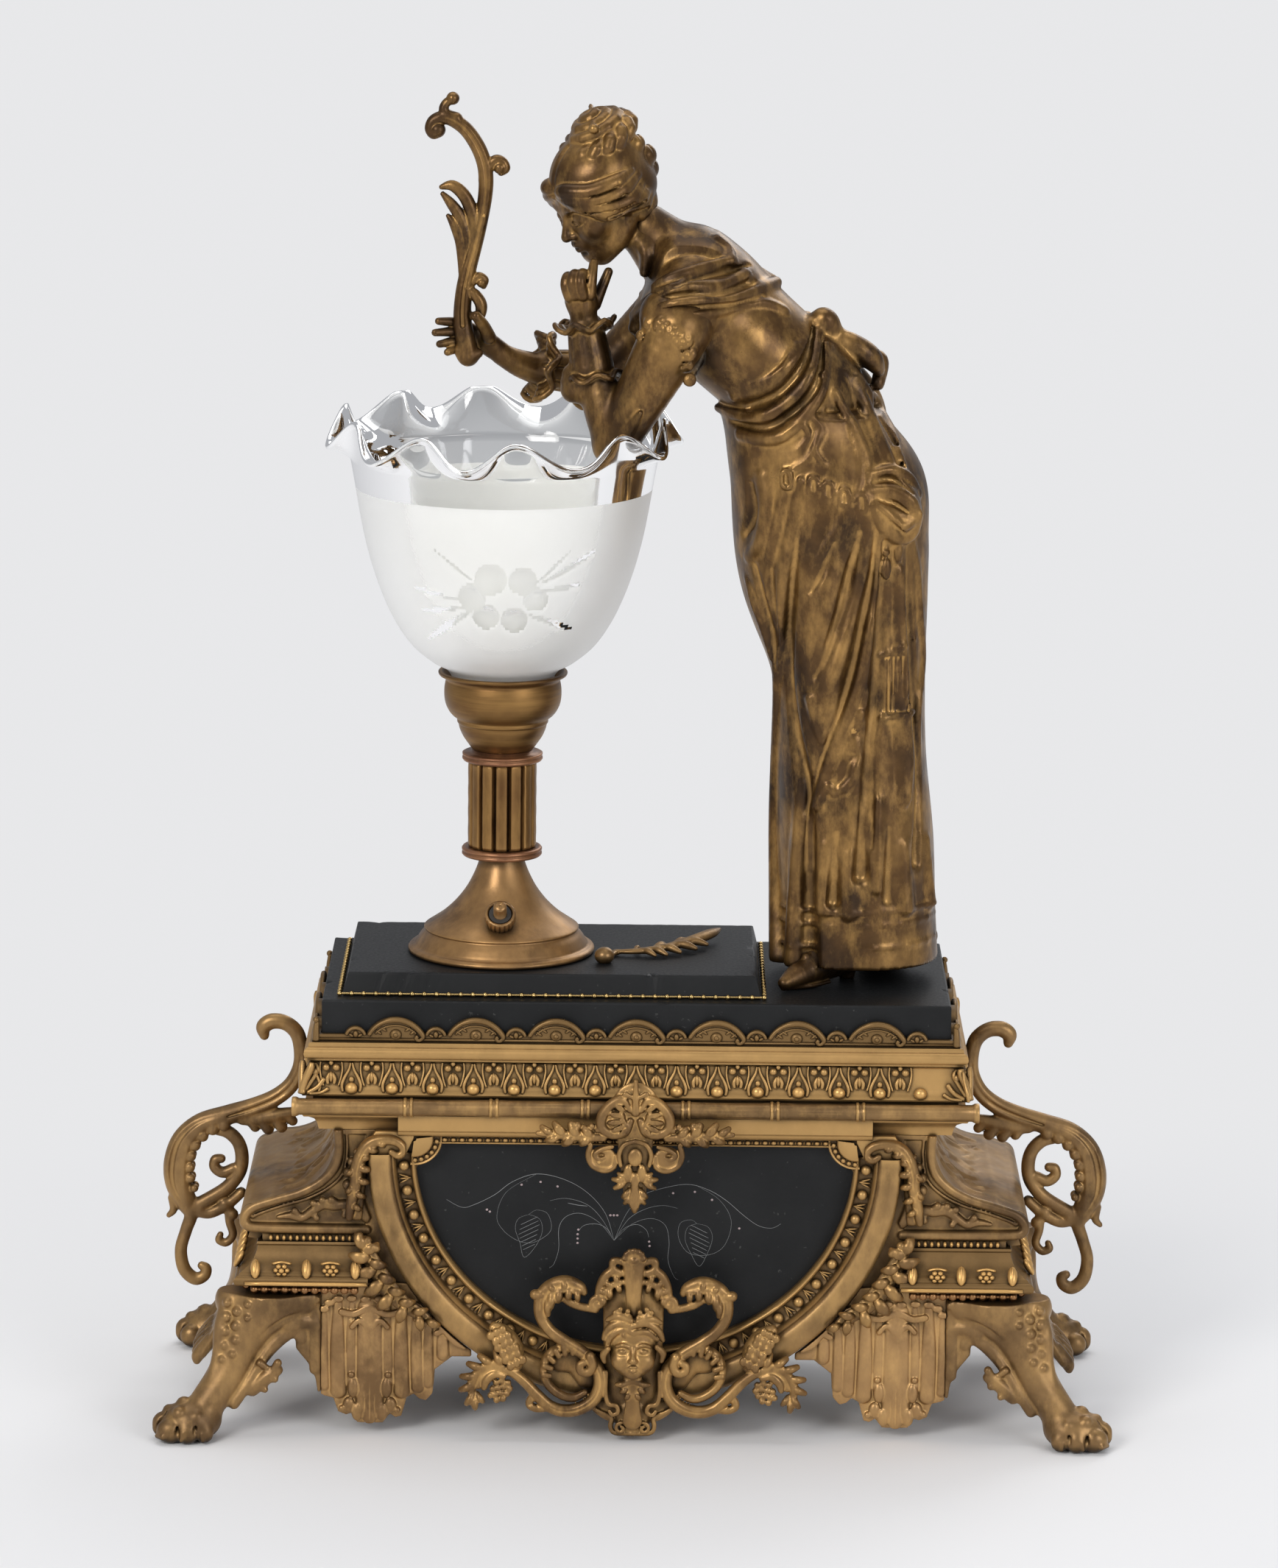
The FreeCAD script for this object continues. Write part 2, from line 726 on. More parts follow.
plinth_half = (S.plinth_right - S.plinth_left) * 0.5
plinth_mid = (S.plinth_right + S.plinth_left) * 0.5
plinth_block = frustum("PlinthBlock", plinth_half, S.plinth_half_depth, S.slab_high,
                       plinth_half - S.plinth_rake, S.plinth_half_depth - S.plinth_rake,
                       S.plinth_high, plinth_mid)
plinth_hole = rod("PlinthHole", S.tube_radius + S.tube_play, drill_long, S.lamp_x, S.lamp_y,
                  drill_low)
keep(cut("PlinthDrilled", plinth_block, plinth_hole), "lamp_plinth")


def bead_chain():
    """The string of beads that lies round the foot of the small plinth."""
    out = N.bead_radius + 0.3
    left = N.plinth_left - out
    right = N.plinth_right + out
    front = -(N.plinth_half_depth + out)
    height = N.slab_high + N.bead_radius
    wide_count = int((right - left) / N.bead_pitch) + 1
    wide_pitch = (right - left) / (wide_count - 1)
    deep_count = int((N.plinth_half_depth * 2) / N.bead_pitch)
    strings = [beads_along((left, front, height), (1, 0, 0), wide_count, wide_pitch,
                           N.bead_radius, N.wire_radius)]
    for x in (left, right):
        strings.append(beads_along((x, front + N.bead_pitch, height), (0, 1, 0), deep_count,
                                   N.bead_pitch, N.bead_radius, N.wire_radius))
    return Part.makeCompound(strings)


formed("bead_chain", bead_chain())


def fallen_leaf():
    """A leaf broken off a scroll, lying on the small plinth beside a round bead."""
    low = N.plinth_high
    sections = []
    for share, half_wide, thick in ((0.0, 1.2, 1.0), (0.2, 3.4, 2.4), (0.55, 5.0, 3.0),
                                    (0.85, 4.4, 2.6), (1.0, 1.4, 1.2)):
        x = -9.0 + 47.0 * share
        y = -14.0 + 34.0 * share * share
        sections.append(((x, y, low + thick), (1, 0, 0.0), thick, half_wide))
    leaf = tapering(sections)
    bead = Part.makeSphere(4.6, Vector(-14.5, -27.0, low + 3.2))
    above = Part.makeBox(300, 200, 60, Vector(-150, -100, low))
    return Part.makeCompound([leaf.common(above), bead.common(above)])


formed("fallen_leaf", fallen_leaf())

# ---------------------------------------------------------------- lower mouldings and feet

mould_slope = frustum("MouldSlope", S.mould_half, S.mould_half_depth, S.mould_low + 2,
                      S.foot_wall_half + 1.5, S.case_half_depth + 1.5, S.mould_high)
mould_lip = block("MouldLip", -S.mould_half, S.mould_half, -S.mould_half_depth,
                  S.mould_half_depth, S.mould_low, S.mould_low + 2)
mould_inside = block("MouldInside", -S.foot_wall_half, S.foot_wall_half, -S.case_half_depth,
                     S.case_half_depth, S.mould_low - 5, S.mould_high + 5)
mould_end = S.frame_radius - S.frame_lap
mould_middle = block("MouldMiddle", -mould_end, mould_end, -S.mould_half_depth - 5,
                     S.mould_half_depth + 5, S.mould_low - 5, S.mould_high + 5)
keep(cut("Mouldings", fuse("MouldSolid", [mould_slope, mould_lip]),
         fuse("MouldSpace", [mould_inside, mould_middle])), "lower_mouldings")


def bead_strips():
    """Strings of beads under the lower mouldings, along the front and the sides."""
    height = N.mould_low - N.strip_radius - 0.35
    y = N.case_half_depth + 7.0
    x_in = N.frame_radius + 4.0
    x_out = N.foot_wall_half + 7.0
    front_count = int((x_out - x_in) / N.strip_pitch) + 1
    side_count = int(2 * (y - N.strip_pitch) / N.strip_pitch)
    strings = []
    for side in (-1, 1):
        strings.append(beads_along((side * x_in, -y, height), (side, 0, 0), front_count,
                                   N.strip_pitch, N.strip_radius, N.strip_radius * 0.5))
        strings.append(beads_along((side * x_out, -y + N.strip_pitch * 1.5, height), (0, 1, 0),
                                   side_count, N.strip_pitch, N.strip_radius,
                                   N.strip_radius * 0.5))
    return Part.makeCompound(strings)


formed("bead_strips", bead_strips())


def paw_foot():
    """The right front foot: a leg that sweeps out from under the case to a paw."""
    tip_x = N.foot_tip
    tip_y = -N.foot_front
    top = N.case_low - 0.05
    leg = tapering([
        ((160, tip_y + 28, top), (0, 0, 1), 22, 14),
        ((165, tip_y + 24, 52), (0, 0, 1), 18, 12),
        ((173, tip_y + 19, 36), (0.2, 0, 1), 11, 9.5),
        ((tip_x - 29, tip_y + 14, 20), (0.3, 0, 1), 9, 8.5),
        ((tip_x - 24, tip_y + 12, 6), (0.2, 0, 1), 11, 9),
    ])
    paw = egg((tip_x - 18, tip_y + 12, 8), 18, 12, 10)
    above = Part.makeBox(100, 200, 100, Vector(tip_x - 100, -150, 0))
    return leg.fuse(paw).common(above)


front_right = paw_foot()
back_right = front_right.mirror(Vector(), Vector(0, 1, 0))
formed("foot_front_right", front_right)
formed("foot_front_left", mirrored(front_right))
formed("foot_back_right", back_right)
formed("foot_back_left", mirrored(back_right))


def front_aprons():
    """Hanging cloth-like aprons between the feet and the round frame."""
    clear = N.frame_radius + 0.8
    inner_edge = [(math.sqrt(clear ** 2 - (N.panel_top - z) ** 2), z)
                  for z in (N.mould_low - 0.5, 55.0, 40.0)]
    hem = [(86, 32), (88, 21), (97, 20), (103, 9), (111, 5), (118, 5), (124, 11), (129, 20),
           (137, 21), (137.5, 32)]
    outline = [(hem[-1][0], N.mould_low - 0.5), *inner_edge, *hem]
    right = prism(outline, N.apron_thick, -N.case_half_depth)
    return Part.makeCompound([right, mirrored(right)])


formed("front_aprons", front_aprons())


def side_aprons():
    """Aprons that lean out under the side mouldings."""
    inside = N.foot_wall_half
    outline = [(inside, N.mould_low - 0.5), (inside + 4, N.mould_low - 0.5),
               (inside + 4, N.case_low - 0.5), (182, 50),
               (199, 20), (198, 15), (194, 21), (178, 46), (inside, 60)]
    half = 22.0
    right = prism(outline, 2 * half, half)
    return Part.makeCompound([right, mirrored(right)])


formed("side_aprons", side_aprons())

# ---------------------------------------------------------------- ornaments on the front

frame_face = -(N.case_half_depth + N.frame_depth)
mask_half = [(0, 90), (13, 84), (18, 66), (38, 72), (62, 68), (76, 56), (60, 46), (42, 42),
             (60, 34), (78, 26), (72, 15), (48, 13), (22, 6), (0, 3)]
mask_outline = mask_half + [(-x, z) for x, z in reversed(mask_half[1:-1])]
mask_plate = prism(mask_outline, 8.0, frame_face)
mask_face = egg((0, frame_face - 7, 48), 14, 9.5, 19)
formed("mask_mount", mask_plate.fuse(mask_face))

# Half widths, and heights over or under the rod that the mount hangs on.
leaf_half = [(0, 15.8), (10, 8.8), (20, 6.8), (26, -1.2), (45, -5.2), (34, -13.2), (18, -17.2),
             (16, -31.2), (6, -44.2), (0, -45.2)]
leaf_outline = [(x, N.rod_height + z) for x, z in leaf_half]
leaf_outline += [(-x, N.rod_height + z) for x, z in reversed(leaf_half[1:-1])]
rod_front = number(rod_y) - N.rod_radius
formed("acanthus_mount", prism(leaf_outline, 5.0, rod_front - 0.3))


def frame_leaves():
    """Leaves that run up the outside of the round frame to its upper ends."""
    inner = N.frame_radius + 0.4
    outer = inner + 8.5
    angles = [math.radians(a) for a in (-14, -5, 4)]
    inside = [Vector(inner * math.cos(a), 0, inner * math.sin(a)) for a in angles]
    outside = [Vector(outer * math.cos(a), 0, outer * math.sin(a)) for a in angles]
    wire = Part.Wire([
        Part.Arc(*inside).toShape(),
        Part.LineSegment(inside[2], outside[2]).toShape(),
        Part.Arc(*reversed(outside)).toShape(),
        Part.LineSegment(outside[0], inside[0]).toShape(),
    ])
    right = Part.Face(wire).extrude(Vector(0, -8.0, 0))
    right.translate(Vector(0, -N.case_half_depth, N.panel_top))
    return Part.makeCompound([right, mirrored(right)])


formed("frame_leaves", frame_leaves())

# ---------------------------------------------------------------- scroll handles

def scroll_handle():
    """The right handle: a curl at the rail, a stem, a large scroll and a hook below."""
    out = N.handle_half - N.handle_radius
    bar = N.handle_radius
    rail_side = N.rail_half + 0.25 + bar
    top = N.rail_high
    stem = bar_along([(168.5, 0, top - 13), (165, 0, top - 9), (159, 0, top - 7.5),
                      (153.5, 0, top - 10), (rail_side, 0, top - 17), (152, 0, top - 29),
                      (160, 0, top - 40), (173, 0, top - 46),
                      (188, 0, 128.5), (200, 0, 121), (out, 0, 109), (out, 0, 96),
                      (201, 0, 85), (198.5, 0, 75), (203, 0, 66), (200.5, 0, 55),
                      (194, 0, 52.5), (190.5, 0, 57)], bar)
    spiral = bar_along([(199, 0, 86), (190, 0, 93), (180, 0, 100), (175.5, 0, 110),
                        (181, 0, 120), (190, 0, 121.5), (194, 0, 114), (189, 0, 108)], 3.0)
    arm = bar_along([(N.nose_half + 1.35, 0, 97.5), (186, 0, 92), (200, 0, 84)], 2.6)
    return stem.fuse([spiral, arm]).removeSplitter()


right_handle = scroll_handle()
formed("scroll_handle_right", right_handle)
formed("scroll_handle_left", mirrored(right_handle))

# ---------------------------------------------------------------- fastenings in the case

brace_low = S.case_low + 1
brace_high = brace_low + 5
tie_low = brace_low - 10
tie_high = S.rail_high - 6
brace_blocks = []
brace_holes = []
tie_rods = []
tie_nuts = []
for index, (x, y) in enumerate(((-1, -1), (-1, 1), (1, -1), (1, 1))):
    tie_rods.append(rod("TieRod%d" % index, S.rod_thread, tie_high - tie_low + 6,
                        x * S.tie_x, y * S.tie_y, tie_low))
    brace_holes.append(rod("BraceHole%d" % index, S.rod_thread + 0.3, 20.0,
                           x * S.tie_x, y * S.tie_y, brace_low - 5))
for index, side in enumerate((-1, 1)):
    middle = side * S.tie_x
    brace_blocks.append(block("Brace%d" % index, middle - 8, middle + 8,
                              -(S.case_half_depth - S.wall), S.case_half_depth - S.wall,
                              brace_low, brace_high))
brace_group = doc.addObject("Part::Compound", "BraceGroup")
brace_group.Links = brace_blocks
keep(cut("BracesDrilled", brace_group, fuse("BraceHoles", brace_holes)), "brace_bars")
rod_group = doc.addObject("Part::Compound", "TieRodGroup")
rod_group.Links = tie_rods
keep(rod_group, "tie_rods")


def nut(x, y, z, radius, bore, height):
    corners = [Vector(x + radius * math.cos(math.radians(60 * k)),
                      y + radius * math.sin(math.radians(60 * k)), z) for k in range(7)]
    solid = Part.Face(Part.makePolygon(corners)).extrude(Vector(0, 0, height))
    return solid.cut(Part.makeCylinder(bore, height + 2, Vector(x, y, z - 1)))


formed("tie_nuts", Part.makeCompound([
    nut(x * N.tie_x, y * N.tie_y, number(brace_low) - N.nut_height, N.nut_across,
        N.rod_thread + 0.1, N.nut_height)
    for x in (-1, 1) for y in (-1, 1)]))

# ---------------------------------------------------------------- lamp column

foot_low = S.plinth_high
tube_hole = S.tube_radius + S.tube_play
foot_tall = S.foot_high - S.plinth_high
thin = S.metal_thick
bell = turned("Bell", [
    (S.foot_radius - 5, 0.0),
    (S.foot_radius, 0.0),
    (S.foot_radius, 2.6),
    (S.foot_radius - 2.4, 4.6),
    (S.foot_radius - 6.5, 9.0),
    (S.foot_radius - 7.4, 10.4, 46.0, 1),
    (S.foot_neck, foot_tall),
    (tube_hole, foot_tall),
    (tube_hole, foot_tall - thin),
    (S.foot_neck - thin, foot_tall - thin, 48.0, -1),
    (S.foot_radius - 11, 9.0),
    (S.foot_radius - 5, 3.0),
], S.lamp_x, S.lamp_y, foot_low)

tilt = math.radians(N.switch_tilt)
switch_axis = Vector(0, -math.cos(tilt), math.sin(tilt))
switch_turn = FreeCAD.Rotation(Z_UP, switch_axis)
switch_y = S.lamp_y - S.switch_out
switch_z = S.plinth_high + S.switch_up
switch_hole = rod("SwitchHole", S.switch_thread + 0.2, 30.0, S.lamp_x, switch_y, switch_z,
                  switch_turn)
switch_hole.Placement = FreeCAD.Placement(
    Vector(N.lamp_x, number(switch_y), number(switch_z)) - switch_axis * 15, switch_turn)
switch_hole.setExpression("Placement.Base.x", S.lamp_x.text)
switch_hole.setExpression(
    "Placement.Base.y", (switch_y - switch_axis.y * 15).text)
switch_hole.setExpression(
    "Placement.Base.z", (switch_z - switch_axis.z * 15).text)
keep(cut("BellDrilled", bell, switch_hole), "lamp_foot")

disc_low = S.foot_high
keep(turned("LowerDisc", [
    (tube_hole, 0.0), (S.foot_neck, 0.0), (S.foot_neck + 2, 1.4), (S.disc_radius - 0.8, 1.4),
    (S.disc_radius, 2.2), (S.disc_radius, S.disc_thick - 0.8),
    (S.disc_radius - 0.8, S.disc_thick), (tube_hole, S.disc_thick),
], S.lamp_x, S.lamp_y, disc_low), "lower_disc")

column_low = disc_low + S.disc_thick
column, column_sketch = new_body("Column", "XY_Plane", [], [
    (0.0, 0.0, S.column_radius), (0.0, 0.0, S.column_radius - 5)])
column_pad = column.newObject("PartDesign::Pad", "ColumnPad")
column_pad.Profile = column_sketch
column_pad.setExpression("Length", S.column_long.text)
doc.recompute()
flute_sketch = column.newObject("Sketcher::SketchObject", "FluteSketch")
flute_sketch.AttachmentSupport = [(origin_plane(column, "XY_Plane"), "")]
flute_sketch.MapMode = "FlatFace"
half_flute = S.flute_wide * 0.5
draw_loop(flute_sketch, [
    (S.column_radius - S.flute_deep, -half_flute), (S.column_radius + 2, -half_flute),
    (S.column_radius + 2, half_flute), (S.column_radius - S.flute_deep, half_flute)])
flute = column.newObject("PartDesign::Pocket", "Flute")
flute.Profile = flute_sketch
flute.Type = 1
flute.Midplane = True
doc.recompute()
flutes = column.newObject("PartDesign::PolarPattern", "Flutes")
flutes.Originals = [flute]
flutes.Axis = (flute_sketch, ["N_Axis"])
flutes.Angle = 360
flutes.setExpression("Occurrences", S.flute_count.text)
column.Tip = flutes
place(column, S.lamp_x, S.lamp_y, column_low)
keep(column, "fluted_column")

upper_low = column_low + S.column_long
keep(turned("UpperDisc", [
    (tube_hole, 0.0), (S.disc_radius - 0.8, 0.0), (S.disc_radius, 0.8),
    (S.disc_radius, S.disc_thick - 2.2), (S.disc_radius - 0.8, S.disc_thick - 1.4),
    (S.cup_neck, S.disc_thick - 1.4), (S.cup_neck, S.disc_thick), (tube_hole, S.disc_thick),
], S.lamp_x, S.lamp_y, upper_low), "upper_disc")

cup_low = upper_low + S.disc_thick
keep(turned("Cup", [
    (tube_hole, 0.0),
    (S.cup_neck, 0.0),
    (S.cup_neck + 2.0, 2.0),
    (S.cup_step - 1.0, 8.6),
    (S.cup_step, 10.2),
    (S.cup_step, 11.6),
    (S.cup_radius - 2.5, 14.2),
    (S.cup_radius, 18.5),
    (S.cup_radius, S.cup_high - 5.6),
    (S.cup_radius + 0.8, S.cup_high - 2.6),
    (S.cup_lip, S.cup_high - 1.6),
    (S.cup_lip, S.cup_high),
    (S.cup_lip - 1.6, S.cup_high),
    (S.cup_radius - thin, S.cup_high - 5.9),
    (S.cup_radius - thin, 19.0),
    (S.cup_step - thin, 13.6),
    (S.cup_step - thin, 9.6),
    (S.cup_neck - 0.6, 2.6),
    (tube_hole, 2.6),
], S.lamp_x, S.lamp_y, cup_low), "holder_cup")

tube_low = S.rail_high - 12
tube_high = cup_low + 9.0
keep(turned("Tube", [
    (S.tube_bore, 0.0), (S.tube_radius, 0.0), (S.tube_radius, tube_high - tube_low),
    (S.tube_bore, tube_high - tube_low)], S.lamp_x, S.lamp_y, tube_low), "threaded_tube")

washer = 2.0
formed("tube_nuts", Part.makeCompound([
    nut(N.lamp_x, N.lamp_y, N.rail_high - washer - N.nut_height, 9.5, N.tube_radius + 0.1,
        N.nut_height),
    Part.makeCylinder(14, washer, Vector(N.lamp_x, N.lamp_y, N.rail_high - washer)).cut(
        Part.makeCylinder(number(tube_hole), washer * 3,
                          Vector(N.lamp_x, N.lamp_y, N.rail_high - washer * 2))),
    nut(N.lamp_x, N.lamp_y, number(cup_low) + 2.6, 8.5, N.tube_radius + 0.1, 3.5),
]))

# The lampholder stands on the tube inside the cup, and holds the bulb's cap.
holder_low = cup_low + 6.4
socket = 7.4
holder_flange = cup_low + S.shade_seat - holder_low - 2
keep(turned("Lampholder", [
    (S.tube_radius + 0.1, 0.0),
    (8.0, 0.0),
    (S.holder_radius - 1.5, 7.0),
    (S.holder_radius, 8.0),
    (S.holder_radius, holder_flange),
    (S.holder_radius + 5, holder_flange),
    (S.holder_radius + 5, holder_flange + 2),
    (S.holder_radius, holder_flange + 2),
    (S.holder_radius, S.holder_long),
    (socket + 0.3, S.holder_long),
    (socket + 0.3, 10.0),
    (S.tube_radius + 0.1, 10.0),
], S.lamp_x, S.lamp_y, holder_low), "lampholder")

cap_low = holder_low + 12.0
cap_high = holder_low + S.holder_long + 4
keep(turned("BulbCap", [
    (0.0, 0.0), (2.5, 0.0), (socket, 3.0), (socket, cap_high - cap_low), (0.0, cap_high - cap_low),
], S.lamp_x, S.lamp_y, cap_low), "bulb_cap")

bulb_neck = 8.0
keep(turned("BulbGlass", [
    (0.0, 0.0),
    (bulb_neck, 0.0),
    (bulb_neck, 4.0),
    (S.bulb_radius - 3.5, S.bulb_radius - 5, S.bulb_radius + 1, -1),
    (S.bulb_radius, S.bulb_radius + 5, S.bulb_radius, -1),
    (0.0, S.bulb_radius * 2 + 5),
], S.lamp_x, S.lamp_y, cap_high), "bulb_glass")

# The shade sits on the cup's inner step, round the lampholder, under a threaded ring.
seat = cup_low + S.shade_seat
glass = S.glass_thick
shade_hole = S.holder_radius + 1.2
tall = S.shade_high
keep(turned("Shade", [
    (shade_hole, 0.0),
    (S.cup_radius - thin - 0.4, 0.0),
    (S.cup_radius - thin - 0.8, 5.8, 60.0, -1),
    (44.6, 23.0, 110.0, -1),
    (63.0, 70.0, 260.0, -1),
    (S.shade_radius, tall - 14.0, 14.0, 1),
    (S.shade_flare, tall),
    (S.shade_flare - 1.2, tall + 1.6),
    (S.shade_flare - 3.4, tall + 1.0, 15.0, -1),
    (S.shade_radius - glass, tall - 12.0, 257.0, 1),
    (63.0 - glass, 71.0, 107.0, 1),
    (43.0 - glass, 25.4, 60.0, 1),
    (S.cup_radius - thin - 2.4, glass + 3.4),
    (S.cup_radius - thin - 3.0, glass),
    (shade_hole, glass),
], S.lamp_x, S.lamp_y, seat), "glass_shade")

ring_low = seat + S.glass_thick + 0.1
keep(turned("ShadeRing", [
    (S.holder_radius + 0.1, 0.0), (S.holder_radius + 4.6, 0.0), (S.holder_radius + 4.6, 1.6),
    (S.holder_radius + 2.4, 2.4), (S.holder_radius + 2.4, 4.6), (S.holder_radius + 0.1, 4.6),
], S.lamp_x, S.lamp_y, ring_low), "shade_ring")

# ---------------------------------------------------------------- switch

def on_switch_axis(item, label, along):
    """Turns a piece onto the switch's axis, at a distance along it from the seat."""
    item.Placement = FreeCAD.Placement(Vector(), switch_turn)
    place(item, S.lamp_x, switch_y + along * switch_axis.y, switch_z + along * switch_axis.z)
    return keep(item, label)


bore = S.button_radius + S.running_gap
nut_top = S.nut_seat + S.nut_long
body_front = -(S.metal_thick + 1.8)
collar = 1.2
flange_top = nut_top - 2.05
flange_low = flange_top - 1.5
spring_low = flange_low - S.button_travel - S.spring_room
on_switch_axis(turned("SwitchBody", [
    (0.0, body_front - S.switch_body_long),
    (S.switch_body_radius, body_front - S.switch_body_long),
    (S.switch_body_radius, body_front),
    (S.switch_thread, body_front),
    (S.switch_thread, nut_top - 0.8),
    (bore, nut_top - 0.8),
    (bore, nut_top - 2.0),
    (S.button_radius + collar, nut_top - 2.0),
    (S.button_radius + collar, spring_low),
    (0.0, spring_low),
]), "switch_body", 0.0)

on_switch_axis(turned("SwitchNut", [
    (S.switch_thread + 0.08, S.nut_seat),
    (S.nut_radius, S.nut_seat),
    (S.nut_radius - 0.8, nut_top - 1.0),
    (S.nut_radius - 1.6, nut_top),
    (S.switch_thread + 0.08, nut_top),
]), "switch_nut", 0.0)

flange_radius = S.button_radius + collar - 0.15
on_switch_axis(turned("SwitchButton", [
    (0.0, flange_low),
    (flange_radius, flange_low),
    (flange_radius, flange_top),
    (S.button_radius, flange_top),
    (S.button_radius, nut_top + S.button_out - 1.0),
    (S.button_radius - 0.8, nut_top + S.button_out),
    (0.0, nut_top + S.button_out),
]), "switch_button", 0.0)


def spring_coil():
    """The spring under the button: a round wire wound on the switch's axis."""
    low = number(spring_low) + 0.5
    high = number(flange_low) - 0.5
    turns = 6
    wire = 0.35
    radius = N.button_radius + collar - 1.0
    helix = Part.makeHelix((high - low) / turns, high - low, radius)
    ring = Part.Wire(Part.Circle(Vector(radius, 0, 0), Vector(0, 1, 0), wire).toShape())
    coil = Part.Wire(helix).makePipeShell([ring], True, True)
    seat_of_switch = Vector(N.lamp_x, number(switch_y), number(switch_z))
    coil.Placement = FreeCAD.Placement(seat_of_switch + switch_axis * low, switch_turn)
    return coil


formed("switch_spring", spring_coil())

# ---------------------------------------------------------------- figure

stand = N.slab_high         # what the figure's heights are measured from


def skirt_sections(shrink, low, high):
    deep = N.skirt_half_depth
    x = N.figure_x
    rows = [
        (N.hem_height, x, 34.0, deep), (stand + 53, x, 36.0, deep + 1),
        (stand + 103, x - 2, 35.0, deep), (stand + 153, x - 2.5, 36.5, deep),
        (stand + 195, x - 8, 41.0, deep + 1), (stand + 223, x - 16.5, 41.0, deep - 1),
        (N.waist_height, x - 29, 36.0, deep - 6),
    ]
    return [((mid, 0, z), (0, 0, 1), wide - shrink, half - shrink)
            for z, mid, wide, half in rows if low <= z <= high]


outer_skirt = tapering(skirt_sections(0.0, N.hem_height, N.waist_height))
inner_skirt = tapering(skirt_sections(N.skirt_wall, N.hem_height + 20, N.waist_height))
bolt_hole = Part.makeCylinder(N.rod_thread + N.tube_play, number(drill_long),
                              Vector(N.bolt_x, N.bolt_y, N.rail_high))
formed("figure_skirt", outer_skirt.cut(inner_skirt).cut(bolt_hole))


def torso_sections(shrink):
    waist_x = N.figure_x - 29
    waist = N.waist_height
    deep = N.skirt_half_depth - 6
    rows = [
        ((waist_x, 0, waist), (0, 0, 1), 36.0, deep),
        ((waist_x - 14, 0, waist + 20), (-0.5, 0, 0.9), 28.0, deep - 1),
        ((waist_x - 34, 0, waist + 40), (-0.7, 0, 0.7), 24.0, deep + 2),
        ((waist_x - 52, 0, waist + 56), (-0.76, 0, 0.65), 20.0, deep + 3),
        ((waist_x - 62, 0, waist + 66), (-0.76, 0, 0.65), 13.0, 18.0),
    ]
    return [(centre, way, wide - shrink, half - shrink) for centre, way, wide, half in rows]


outer_torso = tapering(torso_sections(0.0))
torso = outer_torso.cut(tapering(torso_sections(N.skirt_wall)[:-1]))
formed("figure_torso", torso)
torso_room = tapering(torso_sections(-N.figure_gap))
skirt_room = tapering(skirt_sections(-N.figure_gap, N.hem_height, N.waist_height))


def head():
    """Head, hair and neck in one casting."""
    skull = egg((-13, 0, stand + 355), 24, N.head_radius, 30, -18)
    bun = egg((-6, 0, stand + 373), 16, 15, 15)
    neck = tapering([((8, 0, stand + 311), (-0.5, 0, 0.86), 12, 12),
                     ((0, 0, stand + 327), (-0.4, 0, 0.9), 9, 9),
                     ((-5, 0, stand + 341), (-0.3, 0, 0.95), 9, 9)])
    return neck.fuse([skull, bun]).cut(torso_room)


formed("figure_head", head())


def arm(points, radii):
    """An arm through its joints, each run a cone between two balls."""
    shape = None
    for first, last, start, finish in zip(points, points[1:], radii, radii[1:]):
        way = Vector(*last) - Vector(*first)
        run = Part.makeCone(start, finish, way.Length, Vector(*first), way)
        ball = Part.makeSphere(finish, Vector(*last))
        shape = run if shape is None else shape.fuse(run)
        shape = shape.fuse(ball)
    return shape.fuse(Part.makeSphere(radii[0], Vector(*points[0])))


# Shoulder, elbow, wrist and hand of each arm, and the radius there.
near_joints = [(14, -34, stand + 297), (-12, -24, stand + 242), (-25, -20, stand + 287),
               (-24, -19, stand + 307)]
far_joints = [(12, 34, stand + 297), (-18, 36, stand + 267), (-56, 20, stand + 273),
              (-71, 14.9, stand + 280)]
far_hand_radius = 5.0
formed("near_arm", arm(near_joints, [13.5, 9.8, 6.0, 7.5]).cut(torso_room))
formed("far_arm", arm(far_joints, [12.5, 9.0, 6.5, far_hand_radius]).cut(torso_room))

bow = egg((88, 4, stand + 273), 20, 22, 13, 30)
formed("sash_bow", bow.cut(torso_room).cut(skirt_room))


def lyre_scroll():
    """The scroll of a lyre in the far hand, with a curl at its top and a leaf at its side."""
    y = far_joints[-1][1] - far_hand_radius - N.figure_gap - N.scroll_radius
    top = N.figure_top - N.scroll_radius
    return bar_along([(-90, y, top - 14.9), (-86, y, top - 12.4), (-86, y, top - 5.4),
                      (-83.5, y, top + 2.5), (-78, y, top - 5.4), (-70.5, y, top - 18.4),
                      (-67.5, y, stand + 355), (-71.5, y, stand + 338), (-77, y, stand + 321),
                      (-78.5, y, stand + 305), (-72, y, stand + 291), (-71.5, y, stand + 271)],
                     N.scroll_radius)


formed("lyre_scroll", lyre_scroll())


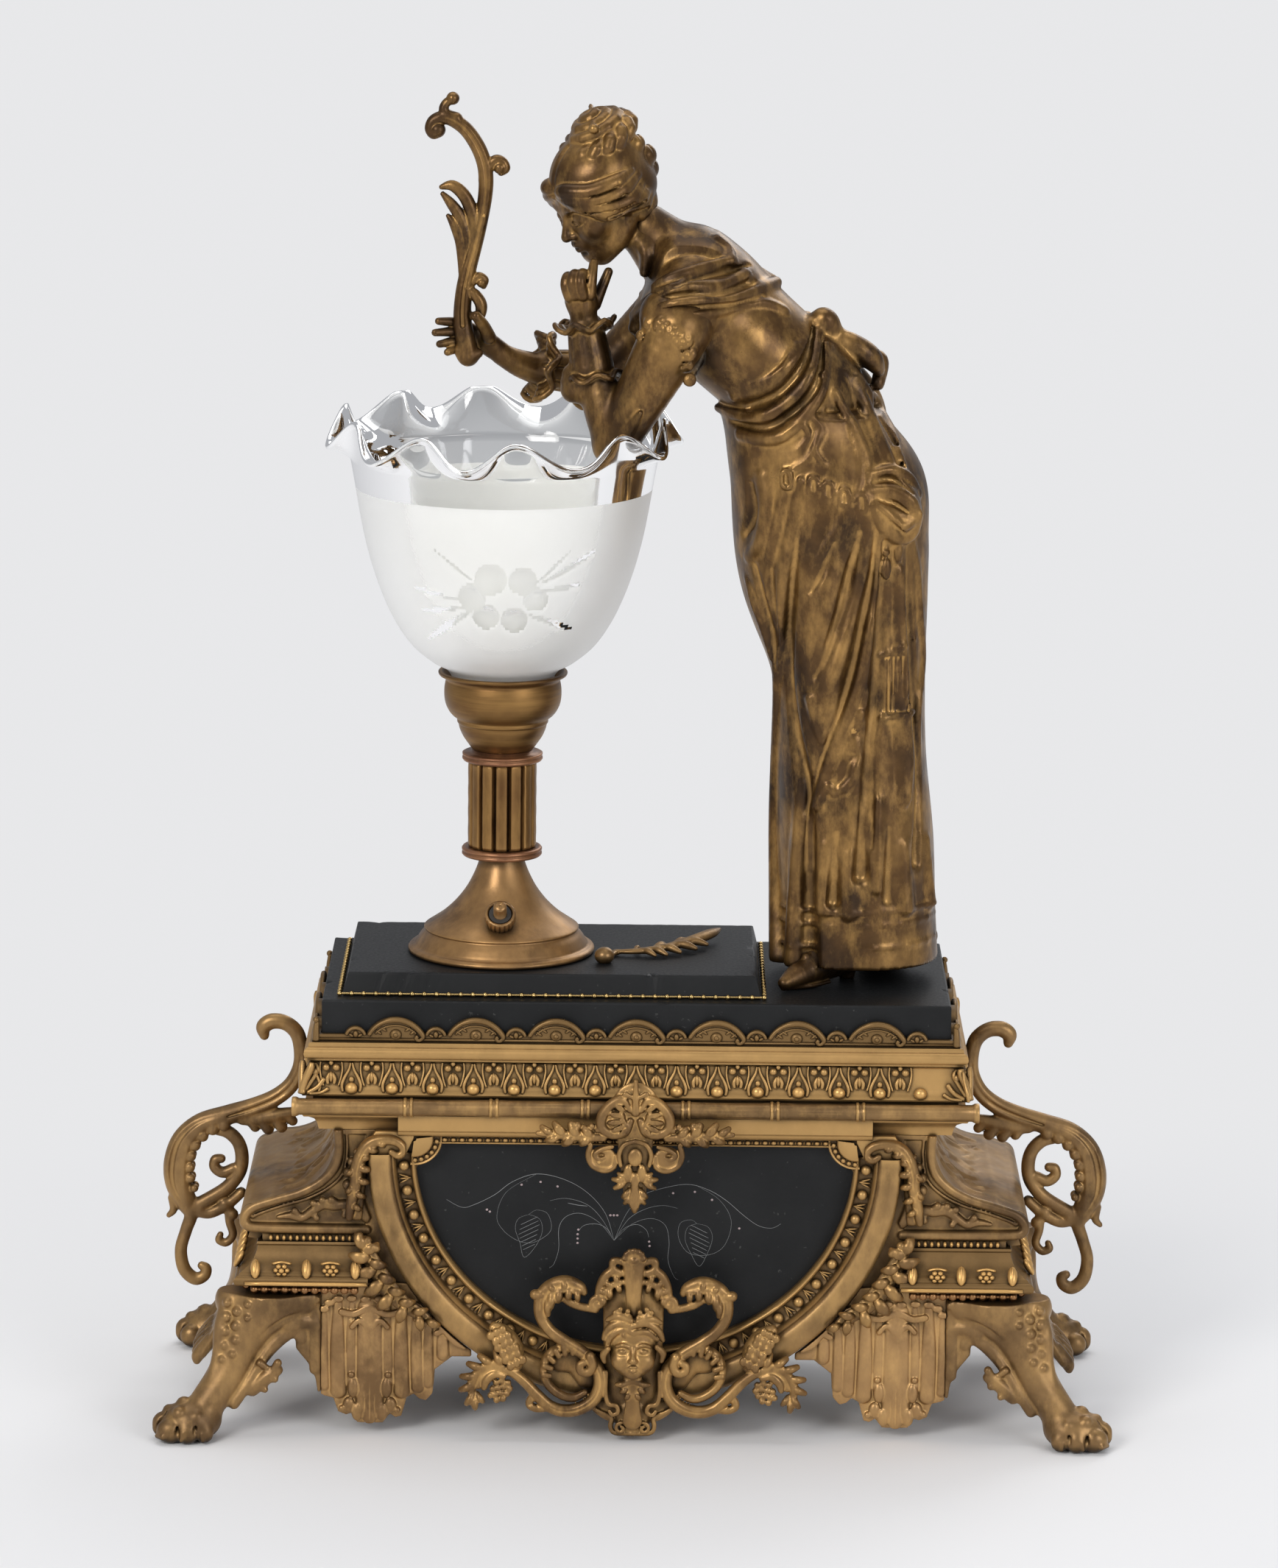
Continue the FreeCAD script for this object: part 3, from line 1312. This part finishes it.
def shoe(toe, heel, toe_low, heel_low, tall):
    """A shoe: a tapering form from toe to heel."""
    way = Vector(*heel) - Vector(*toe)
    turn = math.degrees(math.atan2(way.y, way.x))
    long = way.Length
    rise = heel_low - toe_low
    sections = []
    for share, half_wide, height in ((0.0, 3.0, 4.0), (0.2, 7.5, 9.0), (0.55, 7.0, 15.0),
                                     (0.85, 6.5, tall), (1.0, 4.5, tall - 4)):
        centre = (share * long, 0, toe_low + rise * share + height / 2)
        sections.append((centre, (1, 0, 0), height / 2, half_wide))
    form = tapering(sections)
    form.rotate(Vector(), Z_UP, turn)
    form.translate(Vector(toe[0], toe[1], 0))
    ground = Part.makeBox(300, 200, 100, Vector(-50, -100, N.slab_high))
    return form.common(ground)


front_shoe = shoe((64, -36, 0), (92, -3, 0), N.slab_high - 0.8, N.slab_high - 0.4, 17)
rear_shoe = shoe((100, 32, 0), (130, 6, 0), N.slab_high - 0.8, N.slab_high + 12, 14)
formed("figure_shoes", Part.makeCompound([
    front_shoe.cut(skirt_room).cut(bolt_hole), rear_shoe.cut(skirt_room)]))

bolt_low = N.rail_high - 10
bolt_head = N.hem_height + 22
formed("figure_bolt", Part.makeCompound([
    Part.makeCylinder(N.rod_thread, bolt_head - bolt_low, Vector(N.bolt_x, N.bolt_y, bolt_low)),
    nut(N.bolt_x, N.bolt_y, N.rail_high - N.nut_height, N.nut_across, N.rod_thread + 0.1,
        N.nut_height)]))

# ---------------------------------------------------------------- lead inside the case

lead_radius = 2.6
lead_start = N.case_half_depth - N.gland_inside
lead_end = number(tube_low) - 0.3
lead = bar_along([(0, lead_start, N.gland_height), (0, lead_start - 12, N.gland_height),
                  (-14, lead_start - 22, N.gland_height + 14), (-34, 24, lead_end - 38.7),
                  (-52, 8, lead_end - 20.7), (N.lamp_x, N.lamp_y, lead_end - 12.7),
                  (N.lamp_x, N.lamp_y, lead_end)], lead_radius)
formed("inner_lead", lead)

# ---------------------------------------------------------------- build and write

doc.recompute()
for item in doc.Objects:
    if item.TypeId == "Sketcher::SketchObject" and item.solve() != 0:
        raise RuntimeError("%s cannot be solved" % item.Name)
    if "Invalid" in item.State or "Error" in item.State:
        raise RuntimeError("%s (%s) failed" % (item.Name, item.Label))
os.makedirs("parts", exist_ok=True)
whole = FreeCAD.BoundBox()
for item in kept:
    shape = item.Shape
    if shape.isNull() or not shape.isValid() or not shape.Solids:
        raise RuntimeError("%s has no valid solid" % item.Label)
    whole.add(shape.BoundBox)
    print("%-20s %2d solids %9.1f mm3" % (item.Label, len(shape.Solids), shape.Volume))
    shape.exportStep("parts/%s.step" % item.Label)
print(len(kept), "nodes, box", whole)
